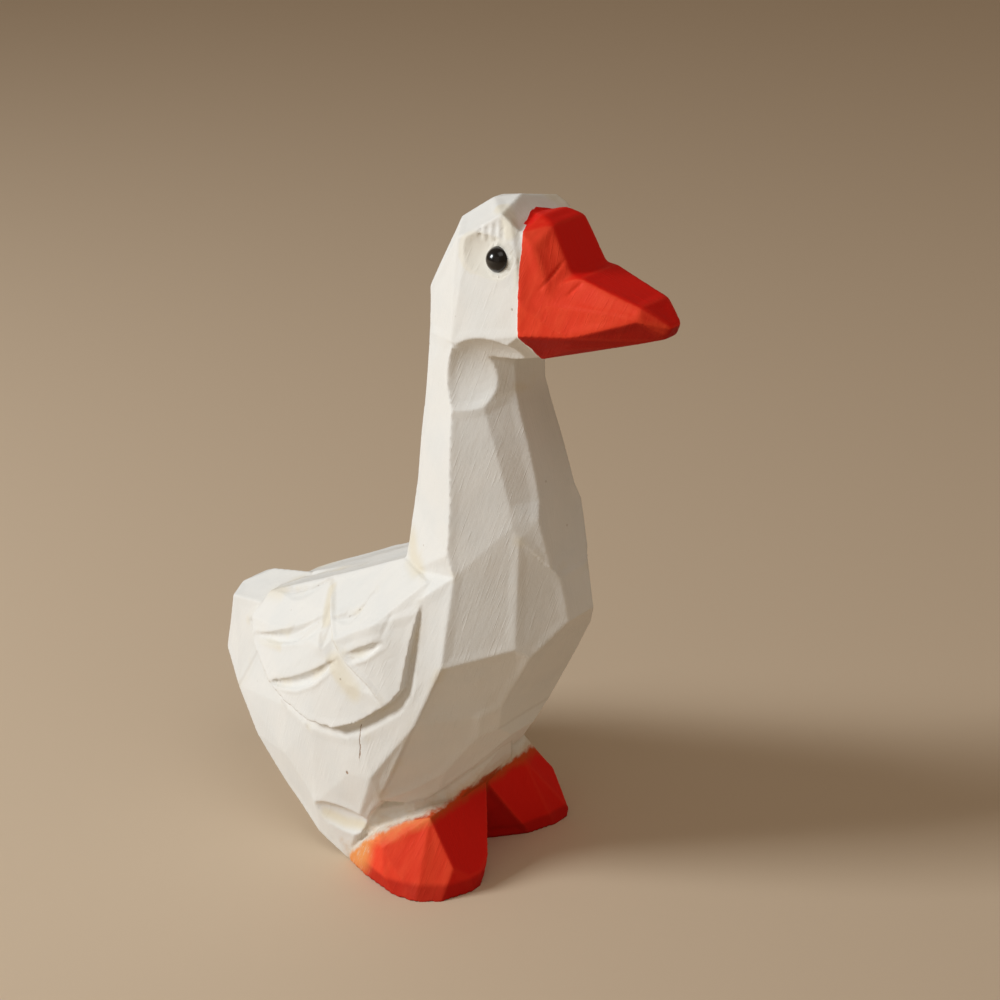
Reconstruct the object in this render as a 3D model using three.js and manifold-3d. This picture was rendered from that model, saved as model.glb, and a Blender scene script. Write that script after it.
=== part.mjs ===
// A goose carved from one block of wood with a knife, 112 mm tall, with a black bead set in each side of
// its head for an eye. The bird stands on two feet that share one base with its tail end.
//
// Units are millimetres, +Z is up and the bill points along +X. The carving is described by the corners
// where its flat knife cuts meet. A corner is [forward, out, up]: forward from the tips of the toes, out
// from the middle of the bird, and up from the ground. The bird is symmetric, so one side is written.

import * as THREE from 'three';
import { ConvexGeometry } from 'three/addons/geometries/ConvexGeometry.js';
import { mergeVertices } from 'three/addons/utils/BufferGeometryUtils.js';
import Module from 'manifold-3d';

const wasm = await Module();
wasm.setup();

// Overall sizes of the bird
const tailEnd = -56.5;
const billTip = 29.5;
const rightSide = -1;
const leftSide = 1;
const bothSides = [rightSide, leftSide];

// Eyes: beads glued in sockets
const beadDiameter = 3.8;
const beadCentre = [4.6, 8, 103.9];
const socketClearance = 0.3;

// Ridges that run down the neck and breast and turn under the belly to the ankles
const neckRidges = {
  nape: [
    [-11.1, 4.5, 92], [-11.1, 5.4, 82.6], [-12.1, 6.5, 66], [-12.8, 6.6, 61.5], [-13.5, 9, 50], [-14, 9, 12],
  ],
  flank: [
    [-3.6, 8.9, 92], [-3, 9.6, 81.5], [-1.4, 12.4, 66], [-0.8, 13.8, 58.6], [0.6, 13.9, 55.4],
    [0, 16.3, 40.9], [-1.6, 16.4, 37], [-4.8, 17.1, 30], [-13, 18.6, 18.6], [-14, 16.9, 11.4],
  ],
  breast: [
    [0.4, 7.2, 90], [1.4, 7.3, 80.8], [6.3, 7.9, 66.4], [7.1, 8.2, 63.4], [8.1, 7.8, 61.3],
    [8.9, 9.5, 44.4], [4.5, 10, 35.6], [2.6, 10, 30.8], [1.5, 9.1, 26.9], [-3.8, 11, 19.2],
    [-8, 13.5, 16.1], [-12.3, 16.6, 13.7],
  ],
  keel: [
    [3.9, 3.4, 90], [4.4, 3.5, 83.2], [9.4, 4.3, 67.1], [10, 5.3, 64.4], [12, 4.6, 56.8],
    [12.9, 3.5, 55.1], [13.7, 3.2, 51.4], [14.2, 3.1, 48.1], [10.5, 7.8, 42.9], [8, 7.8, 38.1],
    [5.2, 7.9, 32.8], [3.3, 6.4, 27.8], [3.1, 2.8, 25.1], [-2, 6.5, 18.8], [-5.8, 10, 14.9], [-8.8, 11.7, 12.5],
  ],
};

// Knife creases that cross from one ridge to the next, as the corner of each ridge that they join
const creases = {
  napeToFlank: [[1, 1], [3, 3]],
  flankToBreast: [[1, 1], [4, 3], [5, 5], [8, 11]],
  breastToKeel: [[1, 1], [4, 3], [5, 8], [7, 10], [8, 11]],
};

// Head without the bill
const headCorners = [
  [2.3, 0, 111.5], [3.8, 6.6, 110.2], [5.6, 6.8, 109.2], [-2, 1, 110.3], [-6.6, 2.6, 107],
  [-11.5, 3.8, 96.1], [-11, 4.9, 89], [-3.5, 7.6, 105.7], [-1.1, 8.2, 106.4], [7.8, 8.3, 104.2],
  [9.1, 9.3, 98.5], [-3.6, 9.15, 90], [9, 9.4, 93.5], [4.3, 0, 109.3], [8, 4, 88.8], [3, 8.4, 88.2],
  [7.2, 6.4, 107.9], [7.9, 7.6, 104.6], [10.2, 5.2, 89.7],
];

// Bill: the high base in front of the forehead, and the beak itself
const billBaseCorners = [
  [4.3, 0, 109.1], [7.4, 6.5, 108.1], [8.1, 7.8, 104.4], [9, 9.6, 98.5], [9.3, 9.9, 93.7],
  [10.4, 5.5, 89.5], [8.2, 2.8, 110], [9.4, 6.7, 106.4], [9.9, 8.3, 101.2], [10.8, 8.5, 98.8],
  [10.9, 3.7, 109], [12, 3.8, 106.6], [12.8, 4.2, 104.3], [11.4, 7.3, 100.4], [14.6, 4.1, 102.6],
  [16.2, 7.9, 94.4], [16.2, 6.2, 92.3],
];
const beakCorners = [
  [9.3, 9.9, 93.7], [10.4, 5.5, 89.5], [10.8, 8.5, 98.8], [11.4, 7.3, 100.4], [14.6, 4.1, 102.6],
  [16.3, 4.5, 102.5], [25.8, 3.4, 99.8], [27, 2.4, 99], [26, 4.4, 98.1], [16.2, 7.9, 94.4],
  [16.2, 6.2, 92.3], [28.6, 1.5, 95], [21.3, 4.2, 93.2], [29.5, 1.2, 97],
];

// Body from the shoulders to the tail and down to the ground behind the feet
const bodyCorners = [
  [-13, 8, 52.6], [-19, 0, 50.6], [-24, 0, 47.4], [-31, 0, 43.8], [-41, 0, 39.8],
  [0.6, 13.9, 55.4], [0, 16.3, 40.9], [-1.6, 16.4, 37], [-4.8, 17.1, 30], [-13, 18.6, 18.6],
  [-17, 17.2, 40], [-28, 14.3, 37], [-38, 9, 35], [-14.5, 18.5, 27], [-26, 17.4, 24.5], [-34, 15.2, 23],
  [-17.8, 18.4, 17.6], [-26.1, 17.3, 8.6], [-34.1, 15.5, 14.2], [-46, 9, 27],
  [-20, 16.3, 0], [-27.4, 15.3, 2], [-36, 13.2, 6.6], [-45, 11, 12.4], [-51, 9, 18.8], [-14, 16.9, 11.4],
];
const tailCorners = [
  [-40, 0, 39.8], [-49.8, 0, 37.8], [-54.5, 3, 35.1], [-54, 6, 33.8], [-56.5, 5.8, 23.2],
  [-51, 9, 18.8], [-46, 9, 27], [-40, 8, 36], [-40, 9, 18], [-45, 11, 12.4],
];

// Ankles, which reach down from under the belly, and the feet with the notch between them. The left foot
// was left a little fuller than the right one
const ankleCorners = [
  [0, 1, 21.5], [-4, 5.5, 17.2], [-7, 9.6, 14.3], [-9, 12.6, 12.8], [-14.5, 16, 11], [-5.5, 0.5, 12],
  [-9, 12, 3], [-20, 16.2, 0], [-26, 16.6, 7.5], [-22, 15.6, 0], [-20, 15, 14],
];
const footBackCorners = [
  [-19.6, 16.5, 0], [-14.7, 18.3, 0], [-8.5, -0.3, 0], [-19.6, -0.3, 0], [-19.1, 16.7, 2.1],
  [-13.3, 17.4, 7.6], [-10.8, 18.4, 6.5], [-9.7, 19.6, 2.9], [-8.8, 14.6, 10.5], [-14, 1, 13],
  [-4.7, -0.3, 13.3],
];
const rightToeCorners = [
  [-7.3, 20, 0], [-3.3, 19.4, 0], [-0.1, 16.8, 0], [1.9, 11.6, 0], [1.8, 9.1, 0], [-6.8, 15.1, 9.6],
  [-5.2, 13.2, 11.9], [-0.1, 13.8, 4.7], [-0.6, 15.9, 2], [-1.2, 3.7, 8], [1.1, 6.6, 4.1],
  [1.7, 9.3, 2.6], [1.4, 11.7, 2.7],
];
const leftToeCorners = [
  [-7.3, 19.8, 0], [-3, 18.8, 0], [0.2, 16.2, 0], [0, 12.9, 0], [-1.6, 8.2, 0], [-3.9, 9, 17.6],
  [-2.2, 15.2, 9.3], [-2.3, 16.2, 6.6], [-2.5, 17, 3.7], [0.1, 16.8, 1.4], [-2.6, 8, 13.6], [-1, 13, 4.9],
  [-0.5, 14, 3.1], [-1.8, 11, 2.3], [-2.5, 8.5, 3],
];

// Wing: a panel that stands proud of the side, steepest along its front and lower edges
const wingDepth = 5;
const wingOutline = [
  [-4.8, 13.6, 52.8], [-4.9, 15.8, 48.6], [-5.5, 17.3, 43.5], [-6.5, 18.3, 36], [-8.5, 18.9, 33.2],
  [-14.4, 19.5, 28.4], [-19.7, 19.6, 25.8], [-25.8, 19, 24.9], [-32.8, 17, 25.5], [-38.1, 15, 26.4],
  [-45.1, 11, 29.3], [-47.7, 8.5, 32.6], [-45.3, 6, 37.2], [-30, 7, 43.6], [-13.5, 8.8, 52.8],
];
const wingBulge = [[-12, 18, 45.5], [-24, 17.3, 38], [-36, 13.4, 34]];

// Channel cut round the edge of each wing, from the tail to the shoulder, where it runs out
const channelWidth = 2.9;
const channelDepth = 0.6;
const channelCorners = 12;
const channelRunOut = 4;
const channelUnderWing = 0.02;
const wingMiddle = [-24, 37];

// Knife cuts that draw the quill and the feathers on a wing, as [forward, up] along the upper edge of each.
// The deepest line of a cut runs this share of its width away from that edge
const featherCuts = [
  {
    line: [[-29, 44.4], [-24.2, 41.8], [-17.9, 37.7], [-12.9, 35.3], [-9.6, 32.9]],
    width: 3.6, depth: 0.9, deepest: 0.1,
  },
  { line: [[-43, 38.2], [-36.5, 41.2], [-29.5, 44.6]], width: 2, depth: 1, deepest: 0.5 },
  { line: [[-45.5, 31], [-35.3, 36], [-26.4, 41]], width: 2.6, depth: 1.1, deepest: 0.45 },
  { line: [[-37.5, 26.5], [-28.8, 31.5], [-20, 37.2]], width: 2.4, depth: 1, deepest: 0.5 },
  { line: [[-23.4, 42], [-18.2, 45.5], [-16.4, 47.8]], width: 2, depth: 0.9, deepest: 0.5 },
  { line: [[-18, 38.7], [-14.5, 41.2], [-10.4, 43.1]], width: 2.2, depth: 1, deepest: 0.5 },
];
const cutRunOut = 0.15;
const cutSteps = 8;

// Sizes of the cutters themselves
const sideView = 60;
const lipClearance = 0.1;
const cutterHeight = 6;
const ballSides = 48;
const beadSides = 20;

// Hollows taken out with a gouge: round the eye, under the cheek and over the ankle
const hollows = [
  { centre: [2.2, 8.5, 104.1], facing: [0.03, 0.98, 0.17], length: 10.6, height: 7.2, depth: 1 },
  { centre: [-1.4, 8.6, 85.3], facing: [0.44, 0.9, 0], length: 17, height: 9.6, depth: 1.6 },
  { centre: [-20.5, 16.7, 7.3], facing: [0.05, 0.98, 0.2], length: 11, height: 3.6, depth: 0.6 },
];

function mirroredTo(corners, side) {
  return corners.map(([forward, out, up]) => new THREE.Vector3(forward, side * out, up));
}

// A closed mesh with shared corners becomes a solid that can be joined and cut
function solidFrom(geometry) {
  const bare = geometry.clone();
  bare.deleteAttribute('normal');
  bare.deleteAttribute('uv');
  const merged = mergeVertices(bare, 1e-4);
  return new wasm.Manifold(new wasm.Mesh({
    numProp: 3,
    vertProperties: new Float32Array(merged.attributes.position.array),
    triVerts: new Uint32Array(merged.index.array),
  }));
}

function geometryFrom(solid) {
  const { numProp, vertProperties, triVerts } = solid.getMesh();
  const positions = new Float32Array(triVerts.length * 3);
  triVerts.forEach((vertex, i) => {
    positions.set(vertProperties.subarray(vertex * numProp, vertex * numProp + 3), i * 3);
  });
  const geometry = new THREE.BufferGeometry();
  geometry.setAttribute('position', new THREE.BufferAttribute(positions, 3));
  geometry.computeVertexNormals();
  return geometry;
}

function block(corners, sides = bothSides) {
  return solidFrom(new ConvexGeometry(sides.flatMap((side) => mirroredTo(corners, side))));
}

// The skin between two ridges, from one crease to the next: each step goes to the nearer next corner
function skinTriangles(first, second, startOfFirst, startOfSecond, joins) {
  const triangles = [];
  let i = 0;
  let j = 0;
  for (const [lastOfFirst, lastOfSecond] of [...joins, [first.length - 1, second.length - 1]]) {
    while (i < lastOfFirst || j < lastOfSecond) {
      const stepFirst = i < lastOfFirst && (j === lastOfSecond
        || first[i + 1].distanceTo(second[j]) <= first[i].distanceTo(second[j + 1]));
      if (stepFirst) {
        triangles.push([startOfFirst + i, startOfFirst + i + 1, startOfSecond + j]);
        i += 1;
      } else {
        triangles.push([startOfFirst + i, startOfSecond + j + 1, startOfSecond + j]);
        j += 1;
      }
    }
  }
  return triangles;
}

// A closed skin over ridges that run from one end to the other, in order around the piece
function skin(ridges, joins) {
  const starts = [];
  const corners = [];
  for (const ridge of ridges) {
    starts.push(corners.length);
    corners.push(...ridge);
  }
  const triangles = ridges.flatMap((ridge, i) => {
    const next = (i + 1) % ridges.length;
    return skinTriangles(ridge, ridges[next], starts[i], starts[next], joins[i]);
  });
  for (let i = 1; i < ridges.length - 1; i += 1) {
    triangles.push([starts[0], starts[i], starts[i + 1]]);
    const [last, a, b] = [0, i, i + 1].map((k) => starts[k] + ridges[k].length - 1);
    triangles.push([last, b, a]);
  }
  const geometry = new THREE.BufferGeometry();
  geometry.setAttribute('position', new THREE.BufferAttribute(
    new Float32Array(corners.flatMap((corner) => corner.toArray())), 3));
  geometry.setIndex(triangles.flat());
  return solidFrom(geometry);
}

function neckAndBreast() {
  const rightRidges = Object.values(neckRidges).map((ridge) => mirroredTo(ridge, rightSide));
  const leftRidges = Object.values(neckRidges).map((ridge) => mirroredTo(ridge, leftSide)).reverse();
  const rightJoins = Object.values(creases);
  const leftJoins = rightJoins.map((joins) => joins.map(([a, b]) => [b, a])).reverse();
  return skin([...rightRidges, ...leftRidges], [...rightJoins, [], ...leftJoins, []]);
}

function wing(side) {
  const sunk = wingOutline.map(([forward, out, up]) => [forward, Math.max(out - wingDepth, 0), up]);
  return block([...wingOutline, ...wingBulge, ...sunk], [side]);
}

// How far out the surface of a solid lies at a place seen from the side
function surfaceOut(mesh, [forward, up], side) {
  const start = new THREE.Vector3(forward, side * sideView, up);
  const [hit] = new THREE.Raycaster(start, new THREE.Vector3(0, -side, 0)).intersectObject(mesh);
  return hit ? side * hit.point.y : null;
}

// A cut with two slopes to the right of its line, as wide and deep at each point as the share given
function slopingCut(solid, { line, width, depth, deepest }, shares, side) {
  const mesh = new THREE.Mesh(geometryFrom(solid));
  const sections = [];
  line.forEach(([forward, up], i) => {
    const before = line[Math.max(i - 1, 0)];
    const after = line[Math.min(i + 1, line.length - 1)];
    const run = new THREE.Vector2(after[0] - before[0], after[1] - before[1]).normalize();
    const reach = width * shares[i];
    const [edge, bottom, foot] = [0, deepest, 1].map((share) => (
      [forward + run.y * reach * share, up - run.x * reach * share]));
    const [edgeOut, bottomOut, footOut] = [edge, bottom, foot].map((at) => surfaceOut(mesh, at, side));
    if (edgeOut === null || bottomOut === null || footOut === null) return;
    sections.push([
      [edge[0], edgeOut + lipClearance, edge[1]], [bottom[0], bottomOut - depth * shares[i], bottom[1]],
      [foot[0], footOut + lipClearance, foot[1]],
      [edge[0], edgeOut + cutterHeight, edge[1]], [foot[0], footOut + cutterHeight, foot[1]],
    ]);
  });
  const blades = sections.slice(1).map((section, i) => block([...sections[i], ...section], [side]));
  return solid.subtract(blades.reduce((cutter, blade) => cutter.add(blade)));
}

// The channel starts under the wing's edge, so that the wall of the wing runs down into it
function withWing(body, side) {
  const middle = new THREE.Vector2(...wingMiddle);
  const edge = wingOutline.slice(1, channelCorners).reverse().map(([forward, , up]) => (
    new THREE.Vector2(forward, up).lerp(middle, channelUnderWing).toArray()));
  const shares = edge.map((_, i) => Math.min((edge.length - i) / channelRunOut, 1));
  const channel = { line: edge, width: channelWidth, depth: channelDepth, deepest: 0 };
  return slopingCut(body, channel, shares, side).add(wing(side));
}

function withFeathers(body, side) {
  return featherCuts.reduce((solid, { line, ...cut }) => {
    const curve = new THREE.SplineCurve(line.map(([forward, up]) => new THREE.Vector2(forward, up)));
    const smoothLine = curve.getSpacedPoints(cutSteps).map((point) => point.toArray());
    const shares = smoothLine.map((_, i) => Math.max(Math.sin((Math.PI * i) / cutSteps), cutRunOut));
    return slopingCut(solid, { line: smoothLine, ...cut }, shares, side);
  }, body);
}

// The piece of a stretched ball that leaves a hollow of this length, height and depth in a flat surface
function hollowCutter({ centre, facing, length, height, depth }, side) {
  const radius = (height * height / 4 + depth * depth) / (2 * depth);
  const [place, outward] = mirroredTo([centre, facing], side);
  const geometry = new THREE.SphereGeometry(radius, ballSides, ballSides / 2).scale(length / height, 1, 1);
  geometry.rotateZ(Math.atan2(-outward.x, outward.y));
  geometry.translate(...place.addScaledVector(outward.normalize(), radius - depth).toArray());
  return solidFrom(geometry);
}

function bead(side, diameter) {
  const [centre] = mirroredTo([beadCentre], side);
  return new THREE.SphereGeometry(diameter / 2, beadSides, beadSides / 2).translate(...centre.toArray());
}

function goose() {
  let solid = neckAndBreast()
    .add(block(headCorners))
    .add(block(billBaseCorners))
    .add(block(beakCorners))
    .add(block(bodyCorners))
    .add(block(tailCorners))
    .add(block(ankleCorners));
  solid = solid.add(block([...footBackCorners, ...rightToeCorners], [rightSide]));
  solid = solid.add(block([...footBackCorners, ...leftToeCorners], [leftSide]));
  for (const side of bothSides) {
    solid = withFeathers(withWing(solid, side), side);
    for (const hollow of hollows) {
      solid = solid.subtract(hollowCutter(hollow, side));
    }
    solid = solid.subtract(solidFrom(bead(side, beadDiameter + 2 * socketClearance)));
  }
  return withoutSpecks(solid);
}

// Cuts that cross can leave a loose speck, which is not part of the bird
function withoutSpecks(solid) {
  return solid.decompose().reduce((bird, piece) => (piece.volume() > bird.volume() ? piece : bird));
}

const paint = new THREE.MeshStandardMaterial({ color: 0xe9e6dc, roughness: 0.6, metalness: 0 });
const black = new THREE.MeshStandardMaterial({ color: 0x0b0a09, roughness: 0.15, metalness: 0 });

const group = new THREE.Group();
group.position.x = -(tailEnd + billTip) / 2;

const body = new THREE.Mesh(geometryFrom(goose()), paint);
body.name = 'goose_carving';
group.add(body);

for (const [name, side] of [['right_eye_bead', rightSide], ['left_eye_bead', leftSide]]) {
  const eye = new THREE.Mesh(geometryFrom(solidFrom(bead(side, beadDiameter))), black);
  eye.name = name;
  group.add(eye);
}

export default group;
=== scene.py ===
"""A goose carved from wood with a knife and painted thinly in white and red, with black beads for eyes.

Lengths are in millimetres until a mesh is made. A place on the bird is [forward, out, up]: forward from the
tips of its toes, out from its middle and up from the ground.
"""

import math

import bmesh
import bpy
import numpy as np
from mathutils import Matrix, Vector
from mathutils.bvhtree import BVHTree
from mathutils.kdtree import KDTree


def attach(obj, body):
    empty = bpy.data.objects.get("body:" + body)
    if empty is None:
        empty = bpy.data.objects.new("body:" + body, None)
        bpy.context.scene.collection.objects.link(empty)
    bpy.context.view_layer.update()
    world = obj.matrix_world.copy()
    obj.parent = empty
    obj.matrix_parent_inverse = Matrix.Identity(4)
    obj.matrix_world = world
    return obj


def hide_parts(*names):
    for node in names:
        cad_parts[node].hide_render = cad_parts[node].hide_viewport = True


# Where the bird stands, in millimetres
MM = 0.001
TOES_FORWARD = 13.5
RIGHT, LEFT = -1, 1
SIDES = (RIGHT, LEFT)

# How the surface is divided, with angles in degrees
WELD_DISTANCE = 0.002
FLAT_ANGLE = 0.4
CREASE_ANGLE = 9.5
GRID = 0.3
SAMPLE_STEP = 0.1
CREASE_CATCH = 0.16
MOST_TRIANGLES = 192000

# How far paint and wear round the edges that the knife left, and where that grows towards the bill
ROUNDING_SHARE = 0.4
BILL_ROUNDING_ROUNDS = 11
BILL_ROUNDING_RISE = (0.3, 2.5)

# Relief of the knife work: how far its creases wander, how deep it scoops, and its waves and streaks
WANDER = 0.16
WANDER_LENGTH = 9.0
SCOOP_DEPTH = (0.04, 0.16)
SCOOP_REACH = 1.6
WAVE_HEIGHT = 0.07
WAVE_LENGTH = 5.0
STREAK_HEIGHT = 0.016
STREAK_WIDTH = 1.7
STREAK_LENGTH = 16.0

# How far apart in its pattern the paint of two strokes is taken
STROKE_STEP = 7.31

# The height below which the surface wanders less, so that the soles stay flat
SOLE_EDGE = 2.0

# The square of the share of its depth that a mark keeps at its ends
BLUNT_END = 0.15

# How far the grain of the wood leans forward, and how far that differs from stroke to stroke
GRAIN_LEAN = 0.35
GRAIN_LEAN_SPREAD = 0.3

# Which of its many patterns the noise draws for each use
LEAN_SEED = 11
DEPTH_SEED = 21
WAVE_SEED = 31
STREAK_SEED = 41
WANDER_SEEDS = (51, 52, 53)

# Halfway between the corners of the noise, where no one corner decides its value
MID_CELL = 0.5

# The whole numbers that scatter the noise
CELL_FACTORS = (374761393, 668265263, 2147483647)
SEED_FACTOR = 144269504
SCATTER_FACTOR = 1274126177
SCATTER_BITS = (13, 16)
LOW_BITS = 0xFFFF

# Shorter than any real length
TINY = 1e-9

# Eyes: a bead, the gap round it, and the ring of paint that is drawn to it and laps over its edge
BEAD_DIAMETER = 3.8
BEAD_PLACE = [4.6, 8.0, 103.9]
BEAD_GAP = 0.03
PAINT_RING = 0.6
PAINT_LAP = 0.6
BEAD_SUBDIVISIONS = 5

# The line where the red of the bill begins, from the chin up to the crown, as [up, forward]
BILL_LINE = [
    [89.5, 10.4], [93.7, 9.3], [98.5, 9.0], [104.4, 8.1], [106.9, 7.8], [108.1, 7.4], [109.3, 4.3],
]

# Over the crown that line starts this far forward in the middle and slants forward as it goes out
CROWN_LINE = (4.7, 0.33)

# How far up the red of the chin begins
CHIN = 88.6

# The heel of the right foot, where the red was brushed on thinly
HEEL = [-18.2, 17.0, 4.0]

# The line where the red of the feet begins, from the heel to the toes, as [forward, up]
FOOT_LINE = [[-19.6, 1.2], [-19.1, 2.1], [-13.3, 7.6], [-7.5, 11.5], [-5.0, 12.6], [-3.2, 14.9]]

# The share of a height below that line which is its distance from it
FOOT_LINE_SLANT = 0.75

# The lower lip of each cut that parts the feathers of a wing, on the side of the bird and on top, and how
# far the bottom of a cut on the side is above its lip
SIDE_LIPS = [
    [[-45.5, 9.6, 28.6], [-37.1, 12.8, 32.4], [-29.5, 15.1, 35.8], [-25.4, 14.6, 39.6]],
    [[-36.0, 15.4, 25.9], [-29.3, 17.3, 28.3], [-24.8, 18.0, 31.2], [-20.6, 18.1, 35.3]],
    [[-16.7, 18.5, 37.2], [-13.4, 18.4, 39.2], [-10.4, 18.3, 42.0]],
]
TOP_LIPS = [
    [[-43.3, 6.6, 37.4], [-39.0, 7.8, 38.5], [-35.8, 7.8, 40.2], [-31.8, 7.6, 43.2], [-28.6, 7.6, 45.4]],
    [[-22.9, 14.6, 41.2], [-20.4, 14.6, 42.6], [-17.8, 14.2, 44.9], [-16.4, 13.4, 47.0]],
]
DEEPEST_ABOVE_LIP = 0.95

# Single marks of the knife, on both sides of the bird: grooves over the eye, nicks and a raised line on the
# bill, the lips and the bottoms of the feather cuts, the quill of the wing and scratches on it. A negative
# depth is a raised line
MARKS = [
    {"width": 1.0, "depth": 0.36, "paths": [
        [[0.7, 7.4, 108.0], [0.9, 7.9, 106.2]], [[1.9, 7.3, 108.4], [2.2, 7.7, 106.0]],
        [[3.0, 7.1, 108.9], [3.6, 7.6, 106.2]], [[4.1, 6.9, 109.2], [4.8, 7.6, 106.6]],
    ]},
    {"width": 0.7, "depth": 0.22, "paths": [
        [[13.4, 4.3, 104.6], [12.6, 6.0, 102.6], [11.6, 7.8, 100.6]],
        [[16.6, 4.8, 101.9], [15.9, 5.6, 101.0], [15.2, 6.3, 100.0]],
    ]},
    {"width": 1.4, "depth": -0.14, "paths": [
        [[15.5, 6.6, 98.6], [19.5, 6.0, 98.7], [23, 5.2, 98.8], [25.4, 4.4, 98.4]],
    ]},
    {"width": 1.3, "depth": -0.18, "paths": SIDE_LIPS + TOP_LIPS},
    {"width": 2.1, "depth": 0.42, "paths": [
        [[forward, out, up + DEEPEST_ABOVE_LIP] for forward, out, up in path] for path in SIDE_LIPS
    ]},
    {"width": 1.3, "depth": -0.42, "paths": [
        [[-27.6, 9.8, 44.2], [-26.4, 11.2, 43.4], [-23.7, 14.3, 42.0], [-20.6, 17.0, 40.0],
         [-17.6, 18.2, 37.9], [-12.7, 18.8, 35.5], [-9.5, 19.2, 33.2]],
    ]},
    {"width": 0.9, "depth": 0.16, "paths": [
        [[-12.7, 17.4, 45.7], [-11.3, 15.2, 49.5]], [[-10.5, 18.1, 43.7], [-9.0, 16.5, 48.5]],
        [[-15.5, 17.2, 44.2], [-13.6, 15.2, 48.0]], [[-9.3, 18.5, 40.3], [-6.2, 18.1, 42.6]],
    ]},
]

# Where the thin paint has yellowed, and the painted shade in the eye sockets: how wide, how strongly,
# and at what share of the width it starts to fade
STAINS_AND_SOCKET_SHADE = [
    {"width": 2.8, "strength": 0.8, "fade": 0.3,
     "path": [[-28.2, 9.4, 43.9], [-26.6, 12.0, 42.4], [-25.0, 14.4, 40.6]]},
    {"width": 4.8, "strength": 0.8, "fade": 0.3,
     "path": [[-20.4, 17.9, 36.4], [-18.6, 18.4, 35.0], [-15.6, 18.8, 33.2]]},
    {"width": 5.6, "strength": 0.8, "fade": 0.1,
     "path": [[-12.4, 8.4, 56.4], [-11.0, 9.4, 54.0], [-8.6, 10.8, 53.2]]},
    {"width": 2.4, "strength": 0.7, "fade": 0.1,
     "path": [[-45.0, 9.4, 29.4], [-41.0, 11.2, 30.8], [-36.0, 13.4, 32.4]]},
    {"width": 6.0, "strength": 0.6, "fade": 0.0,
     "path": [[-45.6, 5.5, 37.4], [-42.0, 6.6, 38.4]]},
    {"width": 3.0, "strength": 1.0, "fade": 0.1,
     "path": [[-24.5, 16.6, 7.2], [-20.4, 16.2, 6.7], [-16.6, 16.1, 7.5]]},
    {"width": 3.4, "strength": 0.7, "fade": 0.4,
     "path": [[2.0, 4.4, 110.4], [4.6, 5.6, 109.6], [5.6, 7.2, 107.8]]},
    # Painted shade in the eye socket, round the bead
    {"width": 6.6, "strength": 0.45, "fade": 0.85,
     "path": [[0.1, 8.2, 104.2], [4.3, 8.2, 103.9]]},
]

# A crack down the right side: how far forward it is, the heights of its lower and upper ends, how far each
# end fades, where its edge starts and ends, and how far it sways
CRACK_FORWARD = -15.0
CRACK_UP = (20.6, 27.4)
CRACK_FADE = (1.5, 0.2)
CRACK_EDGE = (0.03, 0.14)
CRACK_SWAY = 1.1

# A pit behind the crack, and how far from its middle its edge starts and ends
PIT = [-17.9, 18.35, 17.75]
PIT_EDGE = (0.15, 0.4)


def place(point, side=RIGHT):
    """A place on the bird in the frame of the whole part, in millimetres."""
    forward, out, up = point
    return np.array([forward + TOES_FORWARD, side * out, up])


def placed(path, side):
    """The places of a path on one side of the bird."""
    return np.array([place(point, side) for point in path])


def smooth_step(low, high, values):
    """0 below low and 1 above high, with a smooth rise between."""
    share = np.clip((values - low) / (high - low), 0.0, 1.0)
    return share * share * (3.0 - 2.0 * share)


def unit(vectors):
    """The same directions with a length of 1."""
    return vectors / np.maximum(np.linalg.norm(vectors, axis=1, keepdims=True), TINY)


# Smooth noise in three directions, the same on each run


def lattice(cells, seed):
    """A number from -1 to 1 for each cell, which looks random but depends on nothing else."""
    mixed = cells @ np.array(CELL_FACTORS) + seed * SEED_FACTOR
    mixed = (mixed ^ (mixed >> SCATTER_BITS[0])) * SCATTER_FACTOR
    mixed = mixed ^ (mixed >> SCATTER_BITS[1])
    return (mixed & LOW_BITS) / (LOW_BITS / 2) - 1.0


def noise(points, seed):
    """Smooth noise with a wavelength of about one unit of the points."""
    cells = np.floor(points).astype(np.int64)
    share = points - cells
    # An even rise from 0 to 1, without a kink at either end
    share = share * share * share * (share * (share * 6.0 - 15.0) + 10.0)
    total = np.zeros(len(points))
    for corner in np.ndindex(2, 2, 2):
        step = np.array(corner)
        weight = np.prod(np.where(step == 1, share, 1.0 - share), axis=1)
        total += weight * lattice(cells + step, seed)
    return total


# The surface of the carving


def cleaned_mesh(node):
    """The carving's surface with shared corners and without needless edges in its flat faces."""
    mesh = bmesh.new()
    mesh.from_mesh(node.data)
    mesh.transform(Matrix.Scale(1.0 / MM, 4))
    bmesh.ops.remove_doubles(mesh, verts=mesh.verts, dist=WELD_DISTANCE)
    bmesh.ops.dissolve_limit(
        mesh, angle_limit=math.radians(FLAT_ANGLE), verts=mesh.verts, edges=mesh.edges)
    bmesh.ops.triangulate(mesh, faces=mesh.faces)
    return mesh


def number_the_cuts(mesh):
    """Neighbouring faces that meet at a blunt angle were left by one stroke of the knife."""
    layer = mesh.faces.layers.int.new("cut")
    blunt = math.radians(CREASE_ANGLE)
    number = 0
    for first in mesh.faces:
        if first[layer]:
            continue
        number += 1
        first[layer] = number
        waiting = [first]
        while waiting:
            face = waiting.pop()
            for edge in face.edges:
                if len(edge.link_faces) != 2 or edge.calc_face_angle(0.0) > blunt:
                    continue
                for neighbour in edge.link_faces:
                    if not neighbour[layer]:
                        neighbour[layer] = number
                        waiting.append(neighbour)
    return layer


def is_crease(edge, layer):
    """Whether two strokes of the knife meet at an edge."""
    faces = edge.link_faces
    return len(faces) == 2 and faces[0][layer] != faces[1][layer]


def tree_of(points):
    """A tree that finds the nearest of the points."""
    tree = KDTree(len(points))
    for index, point in enumerate(points):
        tree.insert(point, index)
    tree.balance()
    return tree


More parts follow.
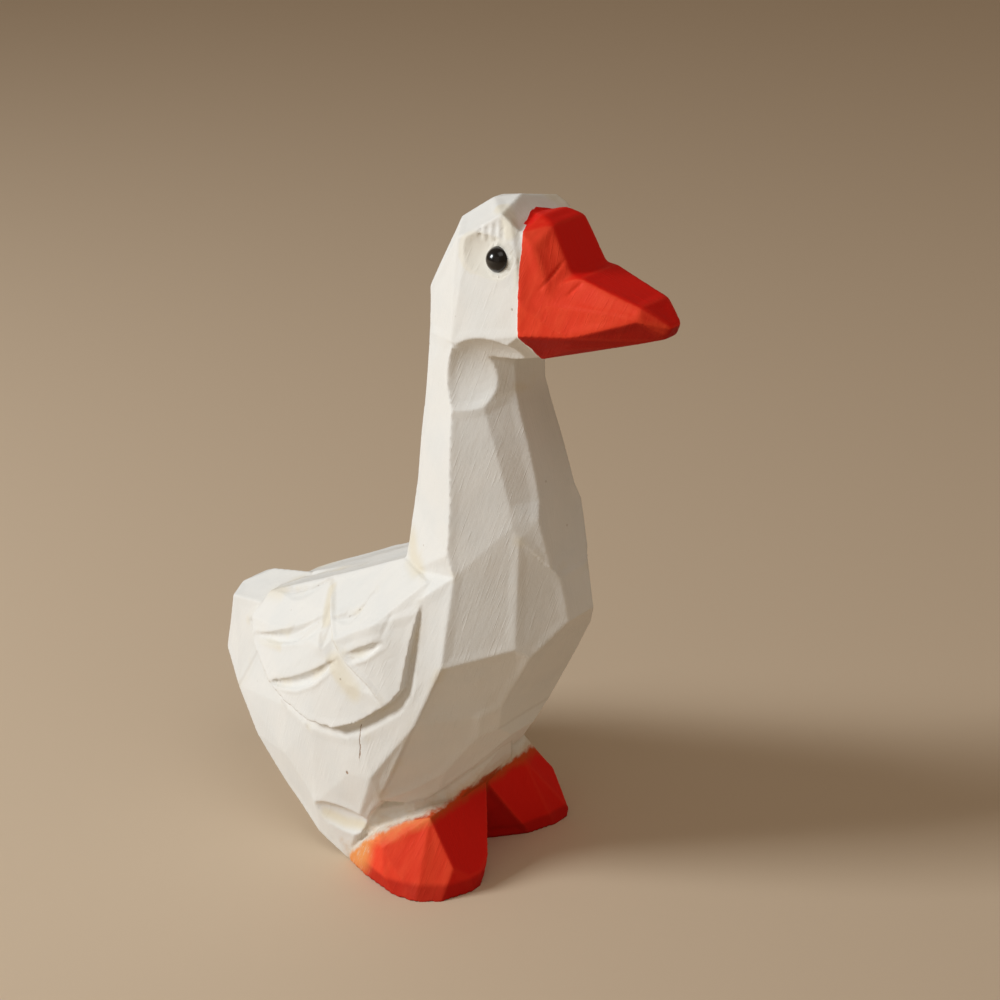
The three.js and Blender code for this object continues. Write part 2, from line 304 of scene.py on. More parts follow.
def crease_samples(mesh, layer, wanted=None):
    """Closely spaced points along the creases, or along those that are wanted."""
    samples = []
    for edge in mesh.edges:
        if not is_crease(edge, layer) or (wanted and not wanted(edge)):
            continue
        start, end = (corner.co for corner in edge.verts)
        steps = max(1, math.ceil((end - start).length / SAMPLE_STEP))
        samples += [start.lerp(end, step / steps) for step in range(steps + 1)]
    return samples


def arrays_of(block):
    """The points and triangles of an object with its modifiers applied."""
    made = block.evaluated_get(bpy.context.evaluated_depsgraph_get()).to_mesh()
    points = np.zeros(len(made.vertices) * 3)
    made.vertices.foreach_get("co", points)
    made.calc_loop_triangles()
    triangles = np.zeros(len(made.loop_triangles) * 3, dtype=np.int32)
    made.loop_triangles.foreach_get("vertices", triangles)
    return points.reshape(-1, 3), triangles.reshape(-1, 3)


def even_grid(mesh):
    """The same surface as a mesh of even squares, each split in two."""
    data = bpy.data.meshes.new("grid")
    mesh.to_mesh(data)
    block = bpy.data.objects.new("grid", data)
    bpy.context.scene.collection.objects.link(block)
    remesh = block.modifiers.new("grid", "REMESH")
    remesh.mode = "VOXEL"
    remesh.voxel_size = GRID
    made = arrays_of(block)
    bpy.data.objects.remove(block)
    return made


class Surface:
    """The skin of the carving as arrays of points and triangles."""

    def __init__(self, points, triangles):
        self.points = points
        self.triangles = triangles
        pairs = np.concatenate([triangles[:, [0, 1]], triangles[:, [1, 2]], triangles[:, [2, 0]]])
        self.edges = np.unique(np.sort(pairs, axis=1), axis=0)
        self.degree = np.bincount(self.edges.ravel(), minlength=len(points))

    def settle_on(self, skin, creases):
        """Lays every point on the carving's own surface, or on a crease that is close by."""
        for index, point in enumerate(self.points):
            crease, _, distance = creases.find(point)
            self.points[index] = crease if distance < CREASE_CATCH else skin.find_nearest(point)[0]

    def normals(self):
        a, b, c = (self.points[self.triangles[:, i]] for i in range(3))
        faces = np.cross(b - a, c - a)
        total = np.zeros_like(self.points)
        for i in range(3):
            np.add.at(total, self.triangles[:, i], faces)
        return unit(total)

    def round_edges(self, share):
        """Moves each point part of the way to the middle of its neighbours."""
        total = np.zeros_like(self.points)
        np.add.at(total, self.edges[:, 0], self.points[self.edges[:, 1]])
        np.add.at(total, self.edges[:, 1], self.points[self.edges[:, 0]])
        self.points += share * (total / self.degree[:, None] - self.points)

    def distances(self, tree):
        return np.array([tree.find(point)[2] for point in self.points])

    def raise_by(self, heights):
        self.points += self.normals() * heights[:, None]


class Cuts:
    """The strokes of the knife: which one left each place, and the directions along and across it."""

    def __init__(self, mesh, layer):
        mesh.faces.ensure_lookup_table()
        self.skin = BVHTree.FromBMesh(mesh)
        self.numbers = np.array([face[layer] for face in mesh.faces])
        count = self.numbers.max() + 1
        totals = np.zeros((count, 3))
        areas = np.array([face.normal * face.calc_area() for face in mesh.faces])
        np.add.at(totals, self.numbers, areas)
        normals = unit(totals)
        self.keys = np.stack([np.arange(count) + MID_CELL] * 3, axis=1)
        lean = GRAIN_LEAN_SPREAD * noise(self.keys, LEAN_SEED)
        grain = np.stack([lean + GRAIN_LEAN, np.zeros(count), np.ones(count)], axis=1)
        self.along = unit(grain - normals * np.sum(grain * normals, axis=1, keepdims=True))
        self.across = np.cross(normals, self.along)

    def at(self, places):
        """The number of the stroke that left each place."""
        return self.numbers[[self.skin.find_nearest(where)[2] for where in places]]


def knife_relief(surface, crease_distance, cuts):
    """Shallow scoops, waves and streaks, each cut with its own depth and direction."""
    depth_of = np.interp(noise(cuts.keys, DEPTH_SEED), (-1.0, 1.0), SCOOP_DEPTH)
    own = cuts.at(surface.points)
    middle = smooth_step(0.0, SCOOP_REACH, crease_distance)
    scoop = -depth_of[own] * middle
    waves = WAVE_HEIGHT * noise(surface.points / WAVE_LENGTH, WAVE_SEED) * middle
    run = np.sum(surface.points * cuts.along[own], axis=1) / STREAK_LENGTH
    side = np.sum(surface.points * cuts.across[own], axis=1) / STREAK_WIDTH
    streaks = noise(np.stack([run, side, own + MID_CELL], axis=1), STREAK_SEED)
    return scoop + waves + STREAK_HEIGHT * streaks * middle


def along_path(points, path):
    """How far each point is from a path of straight lines, and where along it, from 0 to 1."""
    nearest = np.full(len(points), np.inf)
    where = np.zeros(len(points))
    for index, (start, end) in enumerate(zip(path[:-1], path[1:])):
        line = end - start
        share = np.clip((points - start) @ line / (line @ line), 0.0, 1.0)
        distance = np.linalg.norm(points - start - share[:, None] * line, axis=1)
        closer = distance < nearest
        nearest[closer] = distance[closer]
        where[closer] = (index + share[closer]) / (len(path) - 1)
    return nearest, where


def mark(points, path, width, depth):
    """The heights of a groove along a path, which tapers at both ends."""
    distance, where = along_path(points, path)
    taper = np.sqrt(np.clip(4.0 * where * (1.0 - where) + BLUNT_END, 0.0, 1.0))
    return -depth * taper * np.clip(1.0 - distance / (width / 2), 0.0, 1.0)


def marks_relief(points):
    """All the single marks of the knife, on both sides."""
    heights = np.zeros(len(points))
    for marks in MARKS:
        for side in SIDES:
            for path in marks["paths"]:
                heights += mark(points, placed(path, side), marks["width"], marks["depth"])
    return heights


def wander(surface):
    """Moves the surface a little to and fro, so that no crease is quite straight."""
    where = surface.points / WANDER_LENGTH
    drift = np.stack([noise(where, seed) for seed in WANDER_SEEDS], axis=1)
    above_ground = smooth_step(0.0, SOLE_EDGE, surface.points[:, 2])
    surface.points += WANDER * drift * above_ground[:, None]


def seat_for_beads(surface):
    """Draws each eye socket in until the paint is close round the bead and laps over its edge."""
    seat = BEAD_DIAMETER / 2 + BEAD_GAP
    for side in SIDES:
        centre = place(BEAD_PLACE, side)
        offset = surface.points - centre
        near = np.linalg.norm(offset, axis=1) < BEAD_DIAMETER / 2 + PAINT_RING
        lapped = offset[near] + np.array([0.0, side * PAINT_LAP, 0.0])
        surface.points[near] = centre + unit(lapped) * seat


def yellowing_and_socket_shade(points):
    """How yellowed each point is, with painted shade in the eye sockets, from 0 to 1."""
    strength = np.zeros(len(points))
    for stain_and_socket_shade in STAINS_AND_SOCKET_SHADE:
        for side in SIDES:
            distance, _ = along_path(points, placed(stain_and_socket_shade["path"], side))
            faded = smooth_step(stain_and_socket_shade["fade"], 1.0, distance / (stain_and_socket_shade["width"] / 2))
            strength = np.maximum(strength, stain_and_socket_shade["strength"] * (1.0 - faded))
    return strength


def thinned(points, triangles):
    """The same surface with fewer triangles where it is flat."""
    block = mesh_object("thinned", points, triangles)
    decimate = block.modifiers.new("thinned", "DECIMATE")
    decimate.ratio = min(1.0, MOST_TRIANGLES / len(triangles))
    made = arrays_of(block)
    bpy.data.objects.remove(block)
    return made


def stroke_places(surface, cuts):
    """Where each corner of each triangle lies along and across its stroke, and a number for the stroke."""
    corners = surface.points[surface.triangles]
    own = cuts.at(corners.mean(axis=1))
    return np.stack([
        np.einsum("tij,tj->ti", corners, cuts.along[own]),
        np.einsum("tij,tj->ti", corners, cuts.across[own]),
        np.repeat(own[:, None] * STROKE_STEP, 3, axis=1),
    ], axis=2)


def painted_goose(node):
    """The carving with its knife work, as one mesh."""
    mesh = cleaned_mesh(node)
    layer = number_the_cuts(mesh)
    cuts = Cuts(mesh, layer)
    creases = tree_of(crease_samples(mesh, layer))
    ridges = tree_of(crease_samples(mesh, layer, lambda edge: edge.is_convex))
    valleys = tree_of(crease_samples(mesh, layer, lambda edge: not edge.is_convex))
    surface = Surface(*even_grid(mesh))
    mesh.free()
    surface.settle_on(cuts.skin, creases)
    crease_distance = surface.distances(creases)
    surface.round_edges(ROUNDING_SHARE)
    on_bill = smooth_step(*BILL_ROUNDING_RISE, bill_edge(surface.points))[:, None]
    for _ in range(BILL_ROUNDING_ROUNDS):
        surface.round_edges(ROUNDING_SHARE * on_bill)
    heights = knife_relief(surface, crease_distance, cuts) + marks_relief(surface.points)
    surface.raise_by(heights)
    wander(surface)
    seat_for_beads(surface)
    surface = Surface(*thinned(surface.points, surface.triangles))
    goose = mesh_object("goose", surface.points * MM, surface.triangles)
    point_field(goose, "bill_edge", bill_edge(surface.points))
    point_field(goose, "foot_edge", foot_edge(surface.points))
    point_field(goose, "ridge_distance", surface.distances(ridges))
    point_field(goose, "valley_distance", surface.distances(valleys))
    point_field(goose, "groove_depth", np.maximum(-marks_relief(surface.points), 0.0))
    point_field(goose, "stain_and_socket_shade", yellowing_and_socket_shade(surface.points))
    corner_vectors(goose, "stroke", stroke_places(surface, cuts))
    return goose


def bill_edge(points):
    """How far in front of the line where the red of the bill begins, behind it as a negative."""
    up, forward = zip(*BILL_LINE)
    crown = CROWN_LINE[0] + CROWN_LINE[1] * np.abs(points[:, 1])
    line = np.maximum(np.interp(points[:, 2], up, forward), crown)
    return np.minimum(points[:, 0] - TOES_FORWARD - line, points[:, 2] - CHIN)


def foot_edge(points):
    """How far below the line where the red of the feet begins, above it as a negative."""
    forward, up = zip(*FOOT_LINE)
    line = np.interp(points[:, 0] - TOES_FORWARD, forward, up)
    below = (line - points[:, 2]) * FOOT_LINE_SLANT
    return np.minimum(below, points[:, 0] - TOES_FORWARD - forward[0])


# Meshes


def mesh_object(name, points, triangles):
    """A new object in the scene, which shades smoothly."""
    mesh = bpy.data.meshes.new(name)
    mesh.from_pydata(points.tolist(), [], triangles.tolist())
    mesh.shade_smooth()
    piece = bpy.data.objects.new(name, mesh)
    bpy.context.scene.collection.objects.link(piece)
    return piece


def point_field(piece, name, values):
    """Gives each point a number that the shader reads."""
    piece.data.attributes.new(name, "FLOAT", "POINT").data.foreach_set("value", values.astype(np.float32))


def corner_vectors(piece, name, vectors):
    """Gives each corner of each triangle a vector that the shader reads."""
    attribute = piece.data.attributes.new(name, "FLOAT_VECTOR", "CORNER")
    attribute.data.foreach_set("vector", vectors.astype(np.float32).ravel())


def bead(name, side):
    """A round bead in its place on one side of the head."""
    mesh = bmesh.new()
    bmesh.ops.create_icosphere(mesh, subdivisions=BEAD_SUBDIVISIONS, radius=BEAD_DIAMETER / 2 * MM)
    bmesh.ops.translate(mesh, verts=mesh.verts, vec=Vector(place(BEAD_PLACE, side) * MM))
    data = bpy.data.meshes.new(name)
    mesh.to_mesh(data)
    mesh.free()
    data.shade_smooth()
    piece = bpy.data.objects.new(name, data)
    bpy.context.scene.collection.objects.link(piece)
    return piece


# Shaders


class Field:
    """A number, vector or colour that changes over a surface, with arithmetic on the numbers."""

    def __init__(self, shader, socket):
        self.shader = shader
        self.socket = socket

    def maths(self, operation, *values):
        return self.shader.add("ShaderNodeMath", {"operation": operation}, dict(enumerate(values)))

    def __add__(self, other):
        return self.maths("ADD", self, other)

    __radd__ = __add__

    def __sub__(self, other):
        return self.maths("SUBTRACT", self, other)

    def __rsub__(self, other):
        return self.maths("SUBTRACT", other, self)

    def __mul__(self, other):
        return self.maths("MULTIPLY", self, other)

    __rmul__ = __mul__

    def __truediv__(self, other):
        return self.maths("DIVIDE", self, other)

    def __neg__(self):
        return self.maths("MULTIPLY", self, -1.0)

    def size(self):
        return self.maths("ABSOLUTE", self)

    def at_least(self, other):
        return self.maths("MAXIMUM", self, other)

    def at_most(self, other):
        return self.maths("MINIMUM", self, other)

    def step(self, low, high):
        """0 below low and 1 above high, with a smooth rise between."""
        settings = {"interpolation_type": "SMOOTHSTEP"}
        return self.shader.add(
            "ShaderNodeMapRange", settings, {"Value": self, "From Min": low, "From Max": high})

    def fall(self, low, high):
        """1 below low and 0 above high, with a smooth fall between."""
        return 1.0 - self.step(low, high)


class Shader:
    """A material that is built up node by node."""

    def __init__(self, name):
        self.material = bpy.data.materials.new(name)
        self.material.use_nodes = True
        self.tree = self.material.node_tree
        self.tree.nodes.clear()

    def add(self, kind, settings, values, output=0):
        """One node, with its settings and with a number, colour or field for each of its inputs."""
        node = self.tree.nodes.new(kind)
        for name, setting in settings.items():
            setattr(node, name, setting)
        for name, value in values.items():
            if isinstance(value, Field):
                self.tree.links.new(value.socket, node.inputs[name])
            else:
                node.inputs[name].default_value = value
        return Field(self, node.outputs[output])

    def mix(self, factor, first, second):
        """The first colour where the factor is 0 and the second where it is 1."""
        return self.add("ShaderNodeMix", {"data_type": "RGBA"}, {0: factor, 6: first, 7: second}, 2)

    def layered(self, ground, layers):
        """A colour with others laid over it in turn, each [how much of it shows, colour]."""
        for share, colour in layers:
            ground = self.mix(share, ground, colour)
        return ground

    def attribute(self, name, output="Fac"):
        return self.add("ShaderNodeAttribute", {"attribute_name": name}, {}, output)

    def position(self):
        return self.add("ShaderNodeTexCoord", {}, {}, "Object")

    def facing(self):
        return self.add("ShaderNodeTexCoord", {}, {}, "Normal")

    def part(self, vector, axis):
        """A vector's share along X, Y or Z."""
        return self.add("ShaderNodeSeparateXYZ", {}, {"Vector": vector}, axis)

    def stretched(self, where, scale):
        return self.add("ShaderNodeVectorMath", {"operation": "MULTIPLY"}, {0: where, 1: scale})

    def noise(self, where, scale, detail=2.0, roughness=0.5):
        values = {"Vector": where, "Scale": scale, "Detail": detail, "Roughness": roughness}
        return self.add("ShaderNodeTexNoise", {}, values, "Fac")

    def streaks(self, stroke, stretch, detail, roughness=0.5):
        """Noise that is drawn out along the strokes of the knife."""
        return self.noise(self.stretched(stroke, stretch), 1.0, detail, roughness)

    def specks(self, where, scale):
        """How far each place is from the nearest of many scattered points."""
        return self.add("ShaderNodeTexVoronoi", {}, {"Vector": where, "Scale": scale}, "Distance")

    def finish(self, surface, bumps):
        """Ends the material with its surface values and a row of bumps, each [height, distance in mm]."""
        normal = {}
        for height, distance in bumps:
            values = {"Height": height, "Distance": distance * MM, "Strength": 1.0, **normal}
            normal = {"Normal": self.add("ShaderNodeBump", {}, values)}
        paint = self.add("ShaderNodeBsdfPrincipled", {}, {**surface, **normal}, "BSDF")
        output = self.tree.nodes.new("ShaderNodeOutputMaterial")
        self.tree.links.new(paint.socket, output.inputs["Surface"])
        return self.material


# Colours

WHITE_PAINT = (0.82, 0.82, 0.80, 1.0)
COOL_WHITE = (0.79, 0.80, 0.79, 1.0)
CREAM = (0.78, 0.73, 0.60, 1.0)
# Dirt, and painted shade in the valleys of the white
GRIME_AND_SHADE = (0.34, 0.27, 0.20, 1.0)
RED_PAINT = (0.74, 0.010, 0.005, 1.0)
# Lighter red, for painted light on side facets and painted highlights on ridges
PAINTED_LIGHT_RED = (0.90, 0.075, 0.030, 1.0)
# Deep red, for darker paint streaks and for painted shade
DEEP_RED_AND_SHADE = (0.33, 0.003, 0.002, 1.0)
PALE_WASH = (0.64, 0.47, 0.30, 1.0)
BROWN_WASH = (0.45, 0.12, 0.02, 1.0)
HEEL_ORANGE = (0.86, 0.33, 0.10, 1.0)
CRACK_BROWN = (0.31, 0.18, 0.10, 1.0)
BEAD_BLACK = (0.006, 0.005, 0.005, 1.0)
FLOOR_COLOUR = (0.66, 0.53, 0.39, 1.0)

# Patterns along the strokes of the knife, stretched along them, across them and from one to the next
FINE_STREAKS = {"stretch": (0.35, 2.6, 1.0), "detail": 4.0, "roughness": 0.65}
BROAD_STREAKS = {"stretch": (0.12, 0.7, 1.0), "detail": 3.0}
SCRATCHES = {"stretch": (0.22, 4.0, 1.0), "detail": 1.0}

# Patterns over the whole bird, scaled by their waves per metre
CLOUDS = {"scale": 160.0, "detail": 3.0}
YELLOW_PATCHES = {"scale": 220.0}
SPECKS = {"scale": 260.0}
SPECKED_PATCHES = {"scale": 60.0}
BILL_RAGGEDNESS = {"scale": 330.0, "detail": 3.0}
FOOT_RAGGEDNESS = {"scale": 420.0, "detail": 3.0, "roughness": 0.65}
WOOD_PORES = {"scale": 1500.0, "detail": 3.0, "roughness": 0.6}
CRACK_RAGGEDNESS = {"scale": 500.0, "detail": 3.0, "roughness": 0.7}

# The middle value of each of these patterns
MIDDLE = 0.5

# Where an effect starts and where it is full, as values of its pattern
SCRATCHED = (0.58, 0.75)
COOL_CLOUDS = (0.35, 0.70)
YELLOWED = (0.46, 0.70)
DIRTY_STREAKS = (0.55, 0.85)
SPECK_EDGE = (0.03, 0.075)
SPECKED = (0.50, 0.60)
BRUSHED = (0.35, 0.75)
DEEP_STREAKS = (0.55, 0.90)
PALE_BRISTLES = (0.52, 0.66)
SIDEWAYS = (0.30, 0.75)
DOWNWARD = (0.0, 0.35)

# Where an effect starts and where it is full, in millimetres
YELLOW_VALLEYS = (0.0, 1.6)
SHADED_VALLEYS = (0.0, 0.6)
BODY_TOP = (46.0, 52.0)
OUTER_FOOT = (6.5, 10.0)
ABOVE_FEET = (25.0, 30.0)
GROOVED = (0.06, 0.2)
RIDGE_HIGHLIGHT_REACH = (0.1, 0.5)
SOLE = (1.8, 2.8)
THIN_PAINT = (0.1, 2.3)
BEHIND_BILL = (-3.0, -1.0)
HEEL_REACH = (2.5, 6.5)
BILL_BORDER = (-0.06, 0.08)
FOOT_BORDER = (-0.3, 0.6)
WASH_BORDER = (-2.2, 0.3)

# How strongly each effect shows in the white
YELLOW_IN_VALLEYS = 0.5
STAIN_AND_SHADE_LEAST = 0.7
STAIN_AND_SHADE_IN_CLOUDS = 0.5
STREAK_DIRT = 0.06
# Painted shade in the valleys
VALLEY_SHADE = 0.16
SPECK_DIRT = 0.6
CRACK_DIRT = 0.85
WASH_STRENGTH = 0.6

# How strongly each effect shows in the red
# Painted light on the side facets of the red: its least share, and more where the brush streaks are
SIDE_LIGHT_LEAST = 0.7
SIDE_LIGHT_BRUSHED = 0.3
# Painted shade in the red: on facets facing down, in grooves and near the ground
SHADE_UNDERNEATH = 0.8
DEEP_IN_STREAKS = 0.16
SHADE_IN_GROOVES = 0.5
# Painted highlight along ridges
RIDGE_HIGHLIGHT = 0.12
SHADE_AT_SOLE = 0.55
THIN_LEAST = 0.35
THIN_IN_STREAKS = 0.6
HEEL_COVER = 1.3
HEEL_STREAKS = 0.6
BRISTLE_CREAM = 0.5

# How far the ragged edges of the red sway, in millimetres, and the share of that for each paint there
BILL_SWAY = 1.0
FOOT_SWAY = 2.4
THIN_SWAY = 0.7
WASH_SWAY = 1.6

# Sheen
WHITE_ROUGHNESS = 0.62
RED_SMOOTHER = 0.1
STREAK_ROUGHNESS = 0.08
PAINT_SPECULAR = 0.12
BEAD_ROUGHNESS = 0.22
BEAD_SPECULAR = 0.35
BEAD_COAT = 0.5
BEAD_COAT_ROUGHNESS = 0.06
FLOOR_ROUGHNESS = 0.9

# How high each pattern stands, in millimetres
FINE_STREAK_BUMP = 0.03
BROAD_STREAK_BUMP = 0.05
SCRATCH_BUMP = 0.018
PORE_BUMP = 0.025
PAINT_EDGE_BUMP = 0.05
CRACK_BUMP = 0.07


def distance_from(shader, where, point):
    """How far each place on the bird is from a point on its right side, in millimetres."""
    centre = tuple(place(point) * MM)
    return shader.add("ShaderNodeVectorMath", {"operation": "DISTANCE"}, {0: where, 1: centre}, "Value") / MM


def crack_and_pit(shader, where):
    """1 in the crack and in the pit, 0 elsewhere."""
    forward = shader.part(where, "X") / MM - (CRACK_FORWARD + TOES_FORWARD)
    right = (-shader.part(where, "Y") / MM).step(0.0, 1.0)
    up = shader.part(where, "Z") / MM
    sway = (shader.noise(where, **CRACK_RAGGEDNESS) - MIDDLE) * CRACK_SWAY
    line = (forward + sway).size().fall(*CRACK_EDGE)
    low, high = CRACK_UP
    fade_low, fade_high = CRACK_FADE
    crack = line * up.step(low, low + fade_low) * up.fall(high - fade_high, high) * right
    return crack.at_least(distance_from(shader, where, PIT).fall(*PIT_EDGE))


def white_paint(shader, where, fine_streaks, crack):
    """Thin white, yellowed in the valleys and in patches, with a little dirt, and with painted shade in the
    valleys below the back and in the eye sockets.
    """
    valley = shader.attribute("valley_distance")
    height = shader.part(where, "Z") / MM
    clouds = shader.noise(where, **CLOUDS)
    in_valleys = valley.fall(*YELLOW_VALLEYS) * shader.noise(where, **YELLOW_PATCHES).step(*YELLOWED)
    # Yellowing, and painted shade in the eye sockets
    stained_and_shaded = shader.attribute("stain_and_socket_shade") * (STAIN_AND_SHADE_LEAST + STAIN_AND_SHADE_IN_CLOUDS * clouds)
    # Painted shade in the valleys below the back
    shaded_valleys = valley.fall(*SHADED_VALLEYS) * height.fall(*BODY_TOP)
    specks = shader.specks(where, **SPECKS).fall(*SPECK_EDGE)
    specks = specks * shader.noise(where, **SPECKED_PATCHES).step(*SPECKED)
    return shader.layered(WHITE_PAINT, [
        [clouds.step(*COOL_CLOUDS), COOL_WHITE],
        [(YELLOW_IN_VALLEYS * in_valleys).at_least(stained_and_shaded), CREAM],
        [STREAK_DIRT * fine_streaks.step(*DIRTY_STREAKS), GRIME_AND_SHADE],
        # Painted shade in the valleys
        [VALLEY_SHADE * shaded_valleys, GRIME_AND_SHADE],
        [SPECK_DIRT * specks, GRIME_AND_SHADE],
        [CRACK_DIRT * crack, CRACK_BROWN],
    ])


def red_paint(shader, where, fine_streaks, bill, foot, foot_sway):
    """Brushed red, thin along the top of the feet and dry on the heel, lighter on side facets and ridges as
    painted light, and deeper below, in grooves and near the ground as painted shade.
    """
    facing = shader.facing()
    height = shader.part(where, "Z") / MM
    off_middle = (shader.part(where, "Y") / MM).size()
    # Painted light: facets that face sideways are lighter red, except on the inner sides of the feet
    outside = off_middle.step(*OUTER_FOOT).at_least(height.step(*ABOVE_FEET))
    side_light = shader.part(facing, "Y").size().step(*SIDEWAYS) * outside
    # Painted shade on facets that face down
    shade_underneath = (-shader.part(facing, "Z")).step(*DOWNWARD)
    brushed = shader.streaks(shader.attribute("stroke", "Vector"), **BROAD_STREAKS).step(*BRUSHED)
    groove_shade = shader.attribute("groove_depth").step(*GROOVED)
    ridges = shader.attribute("ridge_distance").fall(*RIDGE_HIGHLIGHT_REACH)
    thin = (foot + foot_sway * THIN_SWAY).fall(*THIN_PAINT) * bill.fall(*BEHIND_BILL)
    # The thin paint is lighter orange on side facets, as painted light, and brown wash elsewhere
    thin_colour = shader.mix(side_light, BROWN_WASH, HEEL_ORANGE)
    heel = distance_from(shader, where, HEEL).fall(*HEEL_REACH)
    return shader.layered(RED_PAINT, [
        # Painted light on side facets
        [side_light * (SIDE_LIGHT_LEAST + SIDE_LIGHT_BRUSHED * brushed), PAINTED_LIGHT_RED],
        # Painted shade on facets that face down
        [SHADE_UNDERNEATH * shade_underneath, DEEP_RED_AND_SHADE],
        [DEEP_IN_STREAKS * fine_streaks.step(*DEEP_STREAKS), DEEP_RED_AND_SHADE],
        # Painted shade in grooves
        [SHADE_IN_GROOVES * groove_shade, DEEP_RED_AND_SHADE],
        # Painted highlight along ridges
        [RIDGE_HIGHLIGHT * ridges, PAINTED_LIGHT_RED],
        # Painted shade near the ground
        [SHADE_AT_SOLE * height.fall(*SOLE), DEEP_RED_AND_SHADE],
        [thin * (THIN_LEAST + THIN_IN_STREAKS * fine_streaks), thin_colour],
        [heel * (HEEL_COVER - HEEL_STREAKS * fine_streaks).at_most(1.0), HEEL_ORANGE],
        [BRISTLE_CREAM * heel * fine_streaks.step(*PALE_BRISTLES), CREAM],
    ])


def painted_wood():
    """White all over, with red on the bill and the feet."""
    shader = Shader("painted_wood")
    where = shader.position()
    stroke = shader.attribute("stroke", "Vector")
    fine_streaks = shader.streaks(stroke, **FINE_STREAKS)
    crack = crack_and_pit(shader, where)

    bill = shader.attribute("bill_edge")
    bill_sway = (shader.noise(where, **BILL_RAGGEDNESS) - MIDDLE) * BILL_SWAY
    foot = shader.attribute("foot_edge")
    foot_sway = (shader.noise(where, **FOOT_RAGGEDNESS) - MIDDLE) * FOOT_SWAY
    wash = (foot + foot_sway * WASH_SWAY).step(*WASH_BORDER)
    reddened = (foot + foot_sway).step(*FOOT_BORDER).at_least((bill + bill_sway).step(*BILL_BORDER))

    white = white_paint(shader, where, fine_streaks, crack)
    red = red_paint(shader, where, fine_streaks, bill, foot, foot_sway)
    surface = {
        "Base Color": shader.layered(white, [[WASH_STRENGTH * wash, PALE_WASH], [reddened, red]]),
        "Roughness": WHITE_ROUGHNESS - RED_SMOOTHER * reddened + STREAK_ROUGHNESS * fine_streaks,
        "Specular IOR Level": PAINT_SPECULAR,
    }
    return shader.finish(surface, [
        [fine_streaks, FINE_STREAK_BUMP],
        [shader.streaks(stroke, **BROAD_STREAKS), BROAD_STREAK_BUMP],
        [shader.streaks(stroke, **SCRATCHES).step(*SCRATCHED), SCRATCH_BUMP],
        [shader.noise(where, **WOOD_PORES), PORE_BUMP],
        [reddened, PAINT_EDGE_BUMP],
        [-crack, CRACK_BUMP],
    ])


def black_bead():
    return Shader("black_bead").finish({
        "Base Color": BEAD_BLACK,
        "Roughness": BEAD_ROUGHNESS,
        "Specular IOR Level": BEAD_SPECULAR,
        "Coat Weight": BEAD_COAT,
        "Coat Roughness": BEAD_COAT_ROUGHNESS,
    }, [])


def pale_floor():
    return Shader("pale_floor").finish({"Base Color": FLOOR_COLOUR, "Roughness": FLOOR_ROUGHNESS}, [])


# Camera, light and floor

# A bearing turns from straight ahead towards the right side, and a rise is above level, both in degrees
CAMERA_BEARING = 52.0
CAMERA_RISE = 22.8
CAMERA_PLACE = [189.0, 243.8, 192.9]
CAMERA_LENS = 79.2
SENSOR_WIDTH = 36.0
NEAREST_SEEN = 0.01

# Lamps, with their distance and size in metres and their power in watts
LIGHTS = [
    {"name": "key", "bearing": 130.0, "rise": 29.0, "distance": 0.75, "size": 0.22, "power": 4.35,
     "colour": (0.95, 0.985, 1.0)},
    {"name": "side", "bearing": 72.0, "rise": 18.0, "distance": 0.9, "size": 0.7, "power": 0.3,
     "colour": (1.0, 0.88, 0.74)},
    {"name": "front", "bearing": -40.0, "rise": 10.0, "distance": 0.9, "size": 0.6, "power": 0.3,
     "colour": (1.0, 0.82, 0.64)},
    {"name": "top", "bearing": 26.0, "rise": 62.0, "distance": 0.9, "size": 0.5, "power": 0.8,
     "colour": (1.0, 0.95, 0.90)},
]
LAMPS_AIM = (0.0, 0.0, 0.05)

SKY = (0.90, 0.69, 0.48, 1.0)
SKY_STRENGTH = 0.23
FLOOR_HALF = 4.0


def direction(bearing, rise):
    """A direction of length 1, away from the bird."""
    turn, tilt = math.radians(bearing), math.radians(rise)
    return Vector((math.cos(turn) * math.cos(tilt), -math.sin(turn) * math.cos(tilt), math.sin(tilt)))


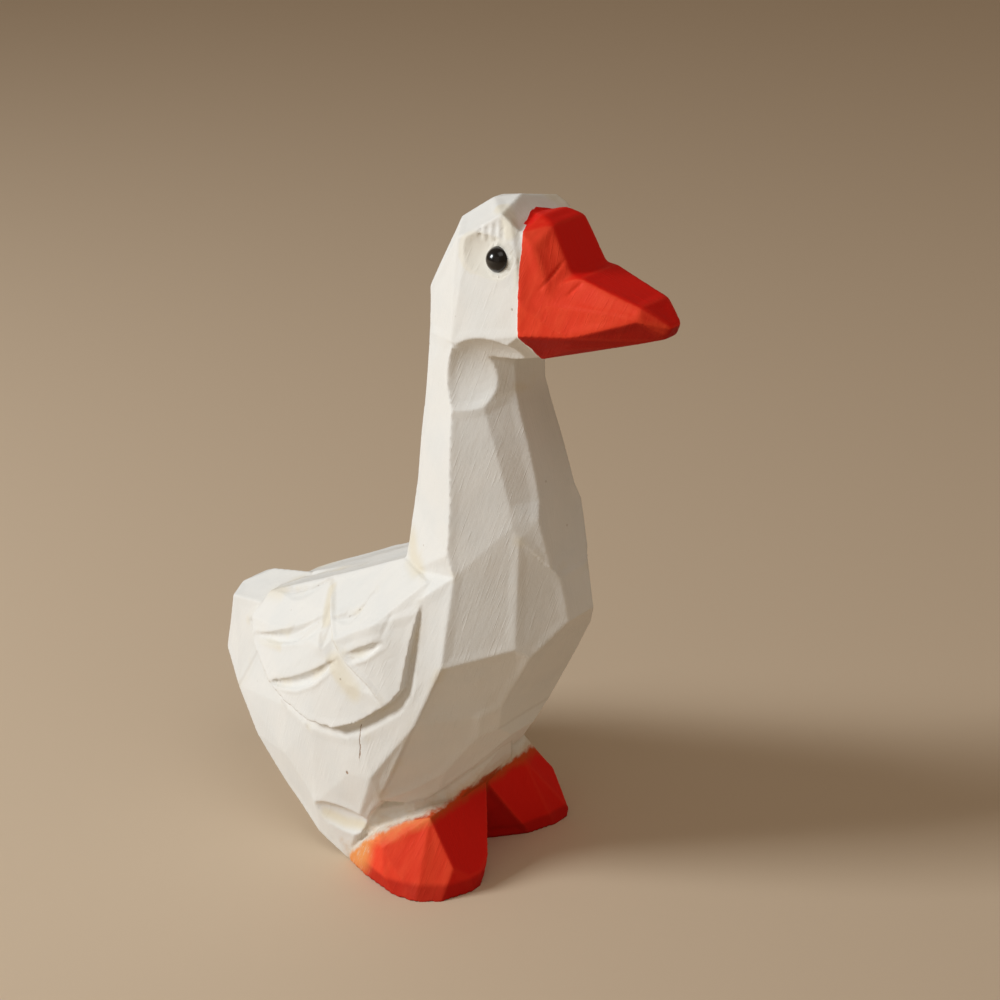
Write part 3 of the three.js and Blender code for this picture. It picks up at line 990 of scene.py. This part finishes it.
def camera():
    """The viewpoint of the photograph."""
    back = direction(CAMERA_BEARING, CAMERA_RISE)
    right = Vector((0.0, 0.0, 1.0)).cross(back).normalized()
    up = back.cross(right)
    data = bpy.data.cameras.new("camera")
    data.lens = CAMERA_LENS
    data.sensor_width = SENSOR_WIDTH
    data.clip_start = NEAREST_SEEN
    viewer = bpy.data.objects.new("camera", data)
    turn = Matrix((right, up, back)).transposed().to_4x4()
    viewer.matrix_world = Matrix.Translation(Vector(place(CAMERA_PLACE) * MM)) @ turn
    bpy.context.scene.collection.objects.link(viewer)
    bpy.context.scene.camera = viewer


def soft_light(name, bearing, rise, distance, size, power, colour):
    """A square lamp that faces the bird."""
    towards = direction(bearing, rise)
    data = bpy.data.lights.new(name, "AREA")
    data.size = size
    data.energy = power
    data.color = colour
    lamp = bpy.data.objects.new(name, data)
    lamp.location = Vector(LAMPS_AIM) + towards * distance
    lamp.rotation_euler = towards.to_track_quat("Z", "Y").to_euler()
    bpy.context.scene.collection.objects.link(lamp)


def sky():
    """A dim warm light from all round."""
    world = bpy.data.worlds.new("sky")
    world.use_nodes = True
    background = world.node_tree.nodes["Background"]
    background.inputs["Color"].default_value = SKY
    background.inputs["Strength"].default_value = SKY_STRENGTH
    bpy.context.scene.world = world


def floor():
    """Plain pale ground."""
    corners = FLOOR_HALF * np.array([[-1, -1, 0], [1, -1, 0], [1, 1, 0], [-1, 1, 0]])
    ground = mesh_object("floor", corners, np.array([[0, 1, 2], [0, 2, 3]]))
    ground.data.materials.append(pale_floor())


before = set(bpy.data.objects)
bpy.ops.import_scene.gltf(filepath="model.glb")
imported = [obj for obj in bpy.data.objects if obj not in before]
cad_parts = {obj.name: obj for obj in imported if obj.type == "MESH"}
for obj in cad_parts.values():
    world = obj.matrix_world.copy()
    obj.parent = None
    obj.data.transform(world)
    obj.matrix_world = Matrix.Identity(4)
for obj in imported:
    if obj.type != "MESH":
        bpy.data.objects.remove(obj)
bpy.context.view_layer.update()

camera()
goose = painted_goose(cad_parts["goose_carving"])
goose.data.materials.append(painted_wood())
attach(goose, "root")
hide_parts("goose_carving")

bead_paint = black_bead()
for name, side in (("right_eye_bead", RIGHT), ("left_eye_bead", LEFT)):
    eye = bead(name.replace("_bead", ""), side)
    eye.data.materials.append(bead_paint)
    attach(eye, "root")
    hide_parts(name)

floor()
sky()
for light in LIGHTS:
    soft_light(**light)
bpy.context.scene.view_settings.view_transform = "Standard"
